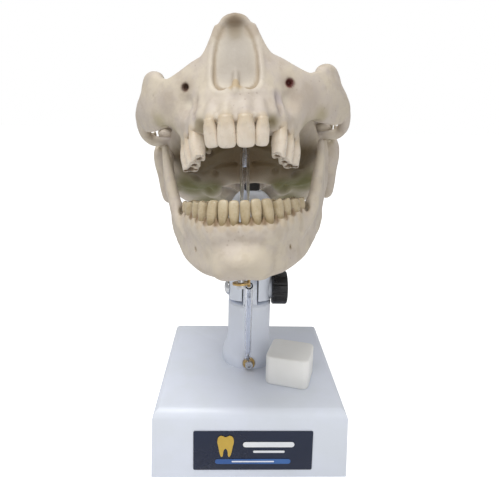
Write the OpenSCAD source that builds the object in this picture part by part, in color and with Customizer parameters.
// Typodont: a skull cut below the brow and a lower jaw with separate teeth, on a tilting bench stand.
// Origin: centre of the base's underside. +X to the viewer's right, +Y to the back, +Z up. Millimetres.

/* [Base] */
// Side of the square base
base_w = 125; // [115:1:135]
// Height of the base
base_h = 46.7; // [42:0.1:50]
// Rounding of the base's top edge
base_round = 7; // [5:0.5:9]
// Wall thickness of the base
base_wall = 4; // [3:0.5:5]

/* [Post] */
// Radius of the post and of the neck
post_r = 15.7; // [15.2:0.1:15.9]
// Distance of the post's axis behind the middle of the base
post_y = 6; // [0:1:10]
// Height of the post's shoulder above the table
shoulder_z = 93; // [92:0.5:94]
// Height of the tilt hinge's axis above the table
tilt_z = 102; // [101.5:0.5:103]
// Radius of the hinge bolt and of the neck stud
bolt_r = 4; // [3:0.5:4.5]
// Radius of the clamping knob
knob_r = 12.2; // [11:0.1:12.5]

/* [Head pose] */
// How far the skull leans back
head_tilt = 23; // [20:1:25]
// How far the skull is turned to the left
head_yaw = 3.5; // [0:0.5:5]
// How far the skull's right side is raised
head_roll = 3.5; // [0:0.5:5]
// How far the jaw hangs open
jaw_open = 15; // [12:1:18]

/* [Practice block] */
// Width of the loose practice block
block_w = 30; // [24:1:32]
// Depth of the practice block
block_d = 28; // [22:1:30]
// Height of the practice block
block_h = 20.5; // [16:0.5:22]
// Turn of the practice block on the base
block_turn = -17; // [-25:1:0]

/* [Hidden] */

bone = [0.87, 0.83, 0.72];
tooth_ivory = [0.92, 0.88, 0.76];
white_plastic = [0.93, 0.94, 0.95];
steel = [0.75, 0.75, 0.77];
clearance = 0.06;          // radial running clearance of every pivot

// ---- stand ----
flare_r = 19.5;
tongue_half = 5;           // half thickness of the lower post's tongue
slot_half = 5.9;           // half width of the slot between the neck's cheeks
tongue_r = 13;
slot_roof_z = tilt_z + 16;
cheek_slope = 12;          // the cheeks' undersides rise by this angle, which lets the neck tilt
dome_z = 161;              // centre of the neck's round top
dome_flat_z = dome_z + 14.7;
knob_x = post_r + 0.5;
knob_len = 11.3;
screw_inset = base_w / 2 - 13;
plate_t = 3;
label_w = 75.6;
label_h = 27;
label_z = 19.3;
draft = 0.8;               // the base's sides lean in by this much

// ---- head ----
head_at = [-6.5, -7, 217]; // middle of the jaw hinge's axis
boss_z = 188;              // underside of the bridge's boss
boss_top = 201;
chin_screw_x = -1;
foot_screw_z = base_h + 4.6;
foot_end = [-0.9, -15, foot_screw_z + 4.4];   // foot end of the chin tube
chin_hook = [3, -75.6, -87.5];       // chin end of the chin tube, in the jaw's own frame
palate_at = [2.2, -46, -24.4];     // in the skull's own frame
floor_at = [1, -66, -68];        // in the jaw's own frame
tube_r = 2.1;
mouth_tube_r = 2.7;
pin_r = 1.1;                     // metal pins inside the tubes' ends

module in_skull() translate(head_at) rotate([-head_tilt, -head_roll, -head_yaw]) children();
module in_jaw() translate(head_at) rotate([jaw_open - head_tilt, -head_roll, -head_yaw]) children();
module on_post() translate([0, post_y, 0]) children();
module at_tilt() translate([0, post_y, tilt_z]) rotate([0, 90, 0]) children();
module both_sides() {
    children();
    mirror([1, 0, 0]) children();
}
module four_corners(d) for (x = [-d, d], y = [-d, d]) translate([x, y, 0]) children();
module ring(r_in, r_out, h) difference() {
    cylinder(r = r_out, h = h, $fn = 48);
    translate([0, 0, -1]) cylinder(r = r_in, h = h + 2, $fn = 48);
}

// The direction from one end of a tube to the other, as the two turns that bring +Z onto it.
function turn_to(a, b) = let (d = b - a) [0, acos(d.z / norm(d)), atan2(d.y, d.x)];
module along(a, b) translate(a) rotate(turn_to(a, b)) children();

// Turning a point from a head frame into the object's frame.
function turn_x(p, a) = [p.x, p.y * cos(a) - p.z * sin(a), p.y * sin(a) + p.z * cos(a)];
function turn_y(p, a) = [p.x * cos(a) + p.z * sin(a), p.y, -p.x * sin(a) + p.z * cos(a)];
function turn_z(p, a) = [p.x * cos(a) - p.y * sin(a), p.x * sin(a) + p.y * cos(a), p.z];
function from_head(p, lean) = head_at + turn_z(turn_y(turn_x(p, -lean), -head_roll), -head_yaw);
palate_end = from_head(palate_at, head_tilt);
chin_end = from_head(chin_hook, head_tilt - jaw_open);
floor_end = from_head(floor_at, head_tilt - jaw_open);

// One side view of the base: leaning sides and a rounded top edge.
function quarter(x, a) = [for (i = [0 : 10])
    [x + base_round * cos(a + i * 9), base_h - base_round + base_round * sin(a + i * 9)]];
module base_outline() {
    reach = base_w / 2 - draft - base_round;
    polygon(concat([[-base_w / 2, 0], [base_w / 2, 0]], quarter(reach, 0), quarter(-reach, 90)));
}
module base_block() intersection_for (turn = [0, 90])
    rotate([90, 0, turn]) linear_extrude(base_w + 2, center = true) base_outline();

module base_shell() color(white_plastic) difference() {
    union() {
        difference() {
            base_block();
            translate([0, 0, -1]) linear_extrude(base_h - base_wall + 1)
                square(base_w - 2 * base_wall - 2 * draft, center = true);
        }
        translate([0, 0, plate_t]) four_corners(screw_inset) cylinder(r = 5, h = base_h - plate_t - 3, $fn = 32);
    }
    translate([0, 0, plate_t - 1]) four_corners(screw_inset) cylinder(r = 1.5, h = 15, $fn = 24);
    translate([0, 0, -1]) linear_extrude(plate_t + 1) square(base_w - 2 * base_wall - 2 * draft, center = true);
    translate([0, post_y, base_h - 10]) cylinder(r = bolt_r, h = 20, $fn = 32);
}

module base_plate() color([0.25, 0.25, 0.26]) difference() {
    linear_extrude(plate_t) square(base_w - 2 * base_wall - 2 * draft - 0.4, center = true);
    translate([0, 0, -1]) four_corners(screw_inset) cylinder(r = 1.8, h = plate_t + 2, $fn = 24);
    translate([0, 0, -1]) four_corners(screw_inset) cylinder(r = 3.2, h = 2.6, $fn = 24);
    translate([0, 0, -1]) four_corners(screw_inset - 14) cylinder(r = 7, h = 2.2, $fn = 32);
}

module base_plate_screws() color(steel) four_corners(screw_inset) {
    translate([0, 0, 0.3]) cylinder(r = 3, h = 1.3, $fn = 24);
    translate([0, 0, 1.6]) cylinder(r = 1.5, h = 11, $fn = 24);
}

module anti_slip_pads() color([0.1, 0.1, 0.1]) four_corners(screw_inset - 14) cylinder(r = 6.9, h = 1.2, $fn = 32);

module ballast_plate() color([0.4, 0.4, 0.42]) translate([0, 0, plate_t]) difference() {
    linear_extrude(14) square(70, center = true);
    translate([0, post_y, -1]) cylinder(r = 12, h = 20, $fn = 32);
}

module nameplate() color([0.08, 0.12, 0.3])
    translate([2, -base_w / 2 + draft * label_z / (base_h - base_round), label_z])
        rotate([90 - atan(draft / (base_h - base_round)), 0, 0])
        linear_extrude(0.6) offset(r = 1, $fn = 16) square([label_w - 2, label_h - 2], center = true);

module lower_post() color(white_plastic) difference() {
    union() {
        on_post() translate([0, 0, base_h]) rotate_extrude($fn = 96) polygon([
            [0, 0], [flare_r, 0], [flare_r, 5], [flare_r - 0.6, 8], [post_r + 1.4, 12],
            [post_r, 18], [post_r, shoulder_z - base_h - 1.2], [post_r - 1.2, shoulder_z - base_h], [0, shoulder_z - base_h]
        ]);
        on_post() translate([0, 0, shoulder_z - 1]) intersection() {
            cylinder(r = post_r - 1.4, h = 40, $fn = 96);
            translate([0, 0, tilt_z - shoulder_z + 1]) rotate([0, 90, 0]) union() {
                cylinder(r = tongue_r, h = 2 * tongue_half, center = true, $fn = 64);
                translate([8, 0, 0]) cube([16, 2 * tongue_r, 2 * tongue_half], center = true);
            }
        }
    }
    at_tilt() cylinder(r = bolt_r + clearance, h = 40, center = true, $fn = 48);
    on_post() translate([0, 0, base_h - 1]) cylinder(r = bolt_r, h = 25, $fn = 48);
    translate([0, post_y - flare_r - 1, foot_screw_z]) rotate([-90, 0, 0]) cylinder(r = 1.6, h = 9, $fn = 24);
    translate([0, post_y - flare_r - 5, foot_screw_z]) rotate([-90, 0, 0]) cylinder(r = 4.8, h = 6, $fn = 32);
}

module post_bolt() color(steel) on_post() {
    translate([0, 0, base_h - base_wall - 7.5]) cylinder(r = 7.5, h = 6, $fn = 6);
    translate([0, 0, base_h - base_wall - 1.5]) cylinder(r = bolt_r, h = 26, $fn = 48);
}

module post_washer() color(steel) on_post() translate([0, 0, base_h - base_wall - 1.5]) ring(bolt_r + 0.05, 10, 1.5);

// Screw that holds the chin tube's ring against the foot of the post.
module foot_screw() color(steel) translate([0, post_y - flare_r, foot_screw_z]) rotate([90, 0, 0]) {
    translate([0, 0, -6]) cylinder(r = 1.6, h = 7.2, $fn = 24);
    difference() {
        translate([0, 0, 0.8]) cylinder(r1 = 3, r2 = 2.6, h = 3.4, $fn = 32);
        translate([0, 0, 2.4]) cylinder(r = 1.4, h = 3, $fn = 6);
    }
}

module foot_ring() color(steel) translate([0, post_y - flare_r, foot_screw_z]) rotate([90, 0, 0]) {
    translate([0, 0, -0.9]) ring(1.7, 4.3, 1.7);
}

module tube_pin(a, b, len, r) along(a, b) cylinder(r = r, h = len, $fn = 24);
module tube(a, b, r_out) along(a, b) difference() {
    cylinder(r = r_out, h = norm(b - a), $fn = 32);
    translate([0, 0, -1]) cylinder(r = pin_r + 0.3, h = norm(b - a) + 2, $fn = 32);
}

module foot_pin() color(steel) tube_pin(foot_end, chin_end, 9, pin_r);

module practice_block() color([0.88, 0.84, 0.75])
    translate([28.5, -22.8, base_h]) rotate([0, 0, block_turn]) linear_extrude(block_h)
        offset(r = 4.5, $fn = 32) square([block_w - 9, block_d - 9], center = true);

// ---- neck ----
module cheek_underside() for (s = [0, 1]) mirror([0, s, 0])
    translate([-30, 0, -8.7]) rotate([cheek_slope, 0, 0]) translate([0, -8, -30]) cube([60, 48, 30]);

module head_arm() color(white_plastic) difference() {
    union() {
        on_post() translate([0, 0, tilt_z - 12]) cylinder(r = post_r, h = dome_z - tilt_z + 12, $fn = 96);
        on_post() translate([0, 0, dome_z]) sphere(r = post_r, $fn = 96);
        at_tilt() translate([0, 0, post_r - 4]) cylinder(r = 8, h = 4.3, $fn = 48);
    }
    translate([-slot_half, post_y - 30, tilt_z - 20]) cube([2 * slot_half, 60, slot_roof_z - tilt_z + 20]);
    translate([0, post_y, tilt_z]) cheek_underside();
    at_tilt() cylinder(r = bolt_r, h = 60, center = true, $fn = 48);
    at_tilt() translate([0, 0, -post_r - 10]) cylinder(r = 6.4, h = 10.8, $fn = 48);
    on_post() translate([0, 0, dome_z - 8]) cylinder(r = bolt_r, h = 40, $fn = 48);
    on_post() translate([0, 0, dome_flat_z]) cylinder(r = 12, h = 10, $fn = 48);
}

module hinge_bolt() color(steel) at_tilt() {
    translate([0, 0, -post_r + 0.8]) cylinder(r = bolt_r, h = post_r + knob_x + knob_len - 4.2, $fn = 48);
    translate([0, 0, -post_r + 0.8]) rotate([180, 0, 0]) rotate_extrude($fn = 48) polygon([
        [0, 0], [5.8, 0], [5.6, 1.4], [4.6, 2.7], [3, 3.5], [1.4, 3.9], [0, 4]
    ]);
}

module friction_washers() color([0.2, 0.2, 0.2]) at_tilt() for (s = [-1, 1])
    translate([0, 0, s * (slot_half - 0.4) - 0.4]) ring(bolt_r + 0.3, 8.5, 0.8);

module neck_stud() color(steel) on_post() translate([0, 0, dome_z - 8]) cylinder(r = bolt_r, h = 58, $fn = 48);

module stud_sleeve() color([0.12, 0.12, 0.12]) on_post() translate([0, 0, dome_flat_z])
    ring(bolt_r + 0.05, 5.5, boss_z - dome_flat_z - 0.3);

module stud_washer() color(steel) on_post() translate([0, 0, boss_top + 0.3]) ring(bolt_r + 0.05, 8, 1.4);

module wing_nut() color(steel) on_post() translate([0, 0, boss_top + 1.7]) difference() {
    union() {
        cylinder(r1 = 6.5, r2 = 5.6, h = 7, $fn = 48);
        both_sides() hull() {
            translate([5, 0, 3]) rotate([90, 0, 0]) cylinder(r = 2.4, h = 2.4, center = true, $fn = 24);
            translate([12, 0, 9]) rotate([90, 0, 0]) cylinder(r = 3.6, h = 2.2, center = true, $fn = 24);
        }
    }
    translate([0, 0, -1]) cylinder(r = bolt_r, h = 20, $fn = 48);
}

// ---- knob ----
module clamp_knob() color([0.06, 0.06, 0.07]) at_tilt() difference() {
    translate([0, 0, knob_x]) rotate_extrude($fn = 96) polygon([
        [0, 0], [knob_r - 0.8, 0], [knob_r, 0.8], [knob_r, knob_len - 0.9], [knob_r - 0.9, knob_len], [0, knob_len]
    ]);
    translate([0, 0, knob_x - 1]) cylinder(r = 6, h = knob_len - 2, $fn = 48);
    for (a = [0 : 30 : 359]) rotate([0, 0, a]) translate([knob_r + 0.5, 0, knob_x - 1])
        cylinder(r = 1.1, h = knob_len + 2, $fn = 16);
}

module knob_insert() color([0.8, 0.65, 0.3]) at_tilt() translate([0, 0, knob_x]) difference() {
    cylinder(r = 6, h = knob_len - 3, $fn = 48);
    translate([0, 0, -1]) cylinder(r = bolt_r + clearance, h = knob_len, $fn = 48);
}

// ---- bone shapes, in the head's own frame: x to the right, y to the back, z up ----
module ball(p) translate([p[0], p[1], p[2]]) sphere(r = p[3], $fn = 8);
module strand(pts) for (i = [0 : len(pts) - 2]) hull() {
    ball(pts[i]);
    ball(pts[i + 1]);
}
module sheet(r, pts) hull() for (p = pts) translate(p) sphere(r = r, $fn = 6);

// Landmarks of the cut skull's right half.
infraorbital = [24, -70, 13];
zygoma_front = [38, -60, 8];
zygoma_cut = [50, -47, 18];
zygoma_corner = [55, -41, 18];
zygoma_foot = [44, -48, -11];

module skull_face() {
    strand([[0, -84, 31, 2.6], [7.5, -80, 26, 2.6], [12, -77, 18, 2.8], [13.5, -77, 7, 3.2],
        [13.5, -79, -4, 3.2], [8, -83, -11, 3.4], [0, -85, -12, 3]]);
    sheet(1.2, [[0, -81, 28], [9, -77, 18], [11.5, -79, -3], [0, -82, -9]]);
    sheet(3, [[12, -76, 17], infraorbital, [14, -77, -4], [27, -70, -3]]);
    strand([[13, -76, 17, 3], [24, -70, 12, 3.2], [38, -60, 8, 3.6], [47, -51, 10, 4]]);
    sheet(3.4, [[26, -69, -3], [24, -70, 10], zygoma_front, [35, -56, -13], zygoma_foot]);
    sheet(3.6, [zygoma_cut, [47, -50, 4], zygoma_corner, [57, -36, 8]]);
    sheet(3.6, [[46, -51, 6], zygoma_foot, [53, -38, -6], [58, -34, 8], [60, -27, -2]]);
    strand([[58, -32, 4, 5.4], [63, -22, 2, 4.4], [64.5, -12, -1, 3.6], [62.5, -3, -1, 3.4], [61, 4, 6, 3.6],
        [57, 8, 9, 4]]);
    sheet(3.6, [[14, -78, -6], [27, -70, -4], [20, -76, -20], [29, -61, -26], [35, -56, -13]]);
    sheet(3.4, [[0, -83, -14], [14, -79, -10], [0, -83, -20], [16, -77, -20]]);
    strand([[0, -82, -21, 6], [9, -81, -21, 6], [17, -76, -21.5, 6], [22.5, -67, -22, 6], [26.5, -56, -23, 6],
        [29, -45, -23, 6], [28, -37, -20, 6]]);
    sheet(2.2, [[0, -78, -16], [18, -68, -16], [24, -42, -17], [0, -38, -16]]);
    sheet(2, [[28, -38, -14], [31, -58, -10], [24, -34, 4], [36, -54, 4]]);
    sheet(1.8, [[18, -70, 11], [38, -58, 6], [32, -34, 5], [12, -38, 7]]);
    sheet(1.6, [[13, -74, 12], [12, -40, 8], [13, -72, -14], [12, -38, -14]]);
}

module skull_base() {
    strand([[0, -38, 3, 7], [0, -24, -3, 8.5], [0, -8, -16, 8], [0, 6, -28, 6]]);
    sheet(2.2, [[12, -36, 2], [28, -36, 4], [20, -20, 0], [46, -22, 3]]);
    sheet(2, [[49, -45, 17], [46, -48, 4], [43, -28, 15], [36, -32, 4]]);
    sheet(2.2, [[43, -28, 15], [38, -30, 3], [54, -2, 9], [52, -4, 3]]);
    sheet(2.6, [[18, -20, -6], [48, -20, 3], [50, 0, 6], [16, 4, -20]]);
    sheet(1.8, [[14, -36, 1], [14, -26, 0], [13, -32, -29], [15, -25, -27]]);
    strand([[14, 6, -26, 5], [30, 10, -16, 7], [48, 13, -5, 8], [57, 8, 3, 6]]);
    strand([[56, 15, 0, 7.5], [57, 19, -16, 8], [56, 21, -36, 6]]);
    strand([[0, 9, -31, 4.6], [12, 12, -33, 4.6], [21, 26, -36, 4.4], [15, 43, -38, 4], [0, 50, -38.5, 4]]);
    strand([[25, 25, -20, 6], [25, 25, -33, 6]]);
    sheet(3, [[20, 22, -32], [50, 22, -15], [44, 44, -26], [20, 38, -35]]);
    sheet(3, [[17, 44, -35], [44, 44, -26], [24, 62, -28], [0, 52, -36], [0, 64, -30]]);
    sheet(2.6, [[50, 20, -14], [62, 18, 3], [59, 38, -3], [45, 44, -25]]);
    sheet(2.6, [[45, 44, -25], [59, 38, -3], [44, 60, -9], [24, 62, -27]]);
    sheet(2.6, [[24, 62, -27], [44, 60, -9], [22, 74, -12], [0, 77, -13], [0, 66, -28]]);
    sheet(4, [[34, -2, 3], [34, 6, -3], [41, -1, 1], [41, 6, -3]]);
}

module cranium() color(bone) difference() {
    in_skull() both_sides() {
        skull_face();
        skull_base();
    }
    in_skull() both_sides() translate([33.5, 0, 0]) rotate([0, 90, 0]) cylinder(r = 3.7, h = 12, $fn = 32);
    in_skull() both_sides() translate([42, 0, 0]) rotate([0, 90, 0]) cylinder(r = 6.4, h = 18, $fn = 24);
    on_post() translate([0, 0, dome_z]) cylinder(r = 12.5, h = 60, $fn = 32);
    on_post() translate([0, 0, dome_z]) sphere(r = post_r + 0.8, $fn = 64);
    on_post() translate([0, 0, dome_z - 40]) cylinder(r = post_r + 0.8, h = 40, $fn = 48);
    in_skull() bridge_bar(0.15);
    in_skull() both_sides() bridge_screw_hole(0.1);
    in_skull() translate([palate_at.x, palate_at.y, -24]) cylinder(r = 1.7, h = 14, $fn = 16);
    in_skull() for (s = [0, 1]) mirror([s, 0, 0]) for (t = UPPER) tooth(t, 1, 0.06);
}

module bridge_bar(gap) translate([0, 25, -15]) cube([58 + 2 * gap, 15 + 2 * gap, 5 + 2 * gap], center = true);
module bridge_screw_hole(gap) translate([24, 25, -24]) cylinder(r = 1.5 + gap, h = 9.5, $fn = 24);

module skull_bridge() color(steel) difference() {
    union() {
        in_skull() bridge_bar(0);
        on_post() translate([0, 0, boss_z]) cylinder(r = 9, h = boss_top - boss_z, $fn = 64);
    }
    on_post() translate([0, 0, boss_z - 20]) cylinder(r = bolt_r + clearance, h = 50, $fn = 64);
    on_post() translate([0, 0, boss_top]) cylinder(r = 9.5, h = 20, $fn = 48);
    on_post() translate([0, 0, boss_z - 20]) cylinder(r = 9.5, h = 20, $fn = 48);
    in_skull() both_sides() translate([24, 25, -24]) cylinder(r = 1.5, h = 20, $fn = 24);
}

module bridge_screws() color(steel) in_skull() both_sides() translate([24, 25, -12.5]) {
    difference() {
        cylinder(r = 3, h = 2, $fn = 32);
        translate([0, 0, 1]) cube([7, 0.9, 2.1], center = true);
    }
    translate([0, 0, -10.5]) cylinder(r = 1.5, h = 10.5, $fn = 24);
}

module jaw_bushes() color([0.8, 0.65, 0.3]) in_skull() both_sides() translate([33.6, 0, 0]) rotate([0, 90, 0])
    ring(2 + clearance, 3.6, 8);

module palate_eye() color(steel) in_skull() translate([palate_at.x, palate_at.y, -24]) {
    translate([0, 0, 1.2]) cylinder(r = 1.6, h = 8, $fn = 24);
    cylinder(r = 2.6, h = 1.2, $fn = 32);
}

module palate_pin() color(steel) tube_pin(palate_end, floor_end, 14, pin_r);

// ---- teeth ----
// Each row: x and y on the arch, height of the gum line, turn of the arch, crown width and depth,
// crown height, width of the biting edge from front to back, and how far the tooth leans outwards.
UPPER = [
    [4.75, -86.2, -26.5, 4, 9.2, 6.6, 13.6, 2.2, 12],
    [12.8, -83.4, -26.5, 18, 7.3, 6, 12.4, 2.2, 12],
    [21.6, -71.5, -27, 58, 6.8, 8.2, 15, 6, 6],
    [25.1, -63.8, -28, 66, 6.8, 8.6, 15, 6.6, 5],
    [28, -54.2, -28, 76, 10, 10, 14, 8.6, 4]
];
LOWER = [
    [2.8, -84.6, -55, 3, 5.2, 5.4, 13, 2, 4],
    [8.3, -83.4, -55, 12, 5.4, 5.6, 13, 2, 4],
    [13.9, -80, -55, 34, 6, 6.6, 13, 3.4, 4],
    [18.9, -74, -54, 52, 6.6, 7.2, 11.5, 5.4, 2],
    [22.7, -67, -53, 62, 6.8, 7.6, 10.5, 6.4, 0],
    [27, -57.6, -52, 70, 10.4, 9.4, 9, 8.4, -3],
    [30.5, -47, -51, 74, 9.6, 9.2, 8, 8.2, -5]
];

module slice(w, d, h, grow) translate([0, 0, h]) scale([1, d / w, 1])
    cylinder(r = w / 2 + grow, h = 0.4, $fn = 12);

// way is 1 for a tooth that hangs down from the upper jaw and -1 for one that stands in the lower jaw.
module tooth(t, way, grow = 0) translate([t[0], t[1], t[2]]) rotate([0, 0, t[3]]) rotate([way * t[8], 0, 0]) {
    mirror([0, 0, way > 0 ? 1 : 0]) {
        hull() {
            slice(t[4] * 0.66, t[5] * 0.72, -1.2 - grow, grow);
            slice(t[4] * 0.94, t[5], t[6] * 0.45, grow);
            slice(t[4] * 0.98, t[7] * 1.25, t[6] * 0.86, grow);
            slice(t[4] * 0.8, t[7] * 0.8, t[6] - 0.4, grow);
        }
        translate([0, 0, -8 - grow]) cylinder(r = 1.7 + grow, h = 8, $fn = 16);
    }
}
module upper(i, side) color(tooth_ivory) in_skull() mirror([side, 0, 0]) tooth(UPPER[i], 1);
module lower(i, side) color(tooth_ivory) in_jaw() mirror([side, 0, 0]) tooth(LOWER[i], -1);

// ---- lower jaw ----
module jaw_half() {
    hull() {
        ball([47, 0, 0, 4.4]);
        ball([54.5, 0, 0, 4.4]);
    }
    strand([[51, -1, -3, 4.4], [51.5, -5, -18, 4.2], [50.5, -9, -34, 4.4], [45.5, -12, -50, 4.6], [43, -13, -60, 4.6]]);
    strand([[48, -29, -12, 2.8], [45.5, -31, -25, 3.4], [42.5, -34, -41, 4], [38, -38, -52, 5]]);
    sheet(3, [[51, -6, -16], [46, -30, -26], [43, -33, -42], [48.5, -10, -42]]);
    sheet(3.6, [[48, -10, -41], [43, -33, -42], [38, -32, -66], [43, -13, -59]]);
    strand([[43, -13, -60, 4.6], [39, -27, -68, 5], [31, -46, -75, 5.5], [20, -64, -78.5, 5.5], [9, -77, -79, 6],
        [0, -81, -78, 6]]);
    strand([[0, -82, -60.5, 5.5], [9, -81, -60.5, 5.5], [16, -76, -59.5, 5.5], [22, -67, -58.5, 5.5],
        [27, -56, -57.5, 5.5], [31, -44, -56, 5.5], [36, -36, -54, 5]]);
    sheet(4.6, [[0, -82, -62], [12, -79, -61], [9, -77, -78], [0, -80, -78]]);
    sheet(4.6, [[12, -79, -61], [22, -67, -60], [20, -65, -77], [9, -77, -78]]);
    sheet(4.4, [[22, -67, -60], [31, -45, -57], [31, -47, -74], [20, -65, -77]]);
    sheet(4.2, [[31, -45, -57], [38, -36, -53], [39, -29, -66], [31, -47, -73]]);
    ball([0, -84, -76, 7]);
    ball([9, -82, -79, 5]);
}

module mandible() color(bone) difference() {
    in_jaw() both_sides() jaw_half();
    in_jaw() both_sides() translate([40, 0, 0]) rotate([0, 90, 0]) cylinder(r = 2.05, h = 15, $fn = 32);
    in_jaw() translate([chin_screw_x, -78, -90]) cylinder(r = 1.65, h = 14, $fn = 16);
    in_jaw() translate([floor_at.x, floor_at.y - 4, floor_at.z]) rotate([90, 0, 0]) cylinder(r = 1.3, h = 12, $fn = 16);
    in_jaw() for (s = [0, 1]) mirror([s, 0, 0]) for (t = LOWER) tooth(t, -1, 0.06);
}

module jaw_pivot_pins() color(steel) in_jaw() both_sides() translate([34.5, 0, 0]) rotate([0, 90, 0])
    cylinder(r = 2, h = 20, $fn = 48);

// Screw under the chin, and the ring below it that the chin tube hooks onto.
module chin_screw() color(steel) in_jaw() translate([chin_screw_x, -78, -86]) {
    cylinder(r = 1.6, h = 9, $fn = 24);
    difference() {
        translate([0, 0, -2.2]) cylinder(r = 2.4, h = 2.2, $fn = 32);
        translate([0, 0, -3]) cylinder(r = 1.3, h = 2, $fn = 6);
    }
}

module chin_ring() color([0.6, 0.45, 0.25]) in_jaw() {
    translate([chin_screw_x, -78, -86]) ring(1.65, 4.4, 1);
    translate([chin_hook.x, chin_hook.y, chin_hook.z + 0.6]) cylinder(r = 0.8, h = 3.6, $fn = 16);
}

module jaw_eye() color(steel) in_jaw() translate([floor_at.x, floor_at.y - 4, floor_at.z]) rotate([90, 0, 0]) {
    translate([0, 0, 0.9]) cylinder(r = 1.2, h = 9, $fn = 24);
    cylinder(r = 2.6, h = 0.9, $fn = 32);
}

module jaw_tube_pins() color(steel) {
    tube_pin(chin_end, foot_end, 12, pin_r);
    tube_pin(floor_end, palate_end, 10, pin_r);
}

module mouth_tube() color([0.8, 0.85, 0.9, 0.6]) tube(palate_end, floor_end, mouth_tube_r);
module chin_tube() color([0.8, 0.85, 0.8, 0.6]) tube(foot_end, chin_end, tube_r);

base_shell();
base_plate();
base_plate_screws();
anti_slip_pads();
ballast_plate();
nameplate();
lower_post();
post_bolt();
post_washer();
foot_screw();
foot_ring();
foot_pin();
practice_block();
head_arm();
hinge_bolt();
friction_washers();
neck_stud();
stud_sleeve();
stud_washer();
wing_nut();
clamp_knob();
knob_insert();
cranium();
skull_bridge();
bridge_screws();
jaw_bushes();
palate_eye();
palate_pin();
mandible();
jaw_pivot_pins();
chin_screw();
chin_ring();
jaw_eye();
jaw_tube_pins();
mouth_tube();
chin_tube();
upper(0, 0);  // upper_right_central_incisor
upper(0, 1);  // upper_left_central_incisor
upper(1, 0);  // upper_right_lateral_incisor
upper(1, 1);  // upper_left_lateral_incisor
upper(2, 0);  // upper_right_first_premolar
upper(2, 1);  // upper_left_first_premolar
upper(3, 0);  // upper_right_second_premolar
upper(3, 1);  // upper_left_second_premolar
upper(4, 0);  // upper_right_molar
upper(4, 1);  // upper_left_molar
lower(0, 0);  // lower_right_central_incisor
lower(0, 1);  // lower_left_central_incisor
lower(1, 0);  // lower_right_lateral_incisor
lower(1, 1);  // lower_left_lateral_incisor
lower(2, 0);  // lower_right_canine
lower(2, 1);  // lower_left_canine
lower(3, 0);  // lower_right_first_premolar
lower(3, 1);  // lower_left_first_premolar
lower(4, 0);  // lower_right_second_premolar
lower(4, 1);  // lower_left_second_premolar
lower(5, 0);  // lower_right_molar
lower(5, 1);  // lower_left_molar
for (side = [0, 1]) lower(6, side);  // lower_back_molars
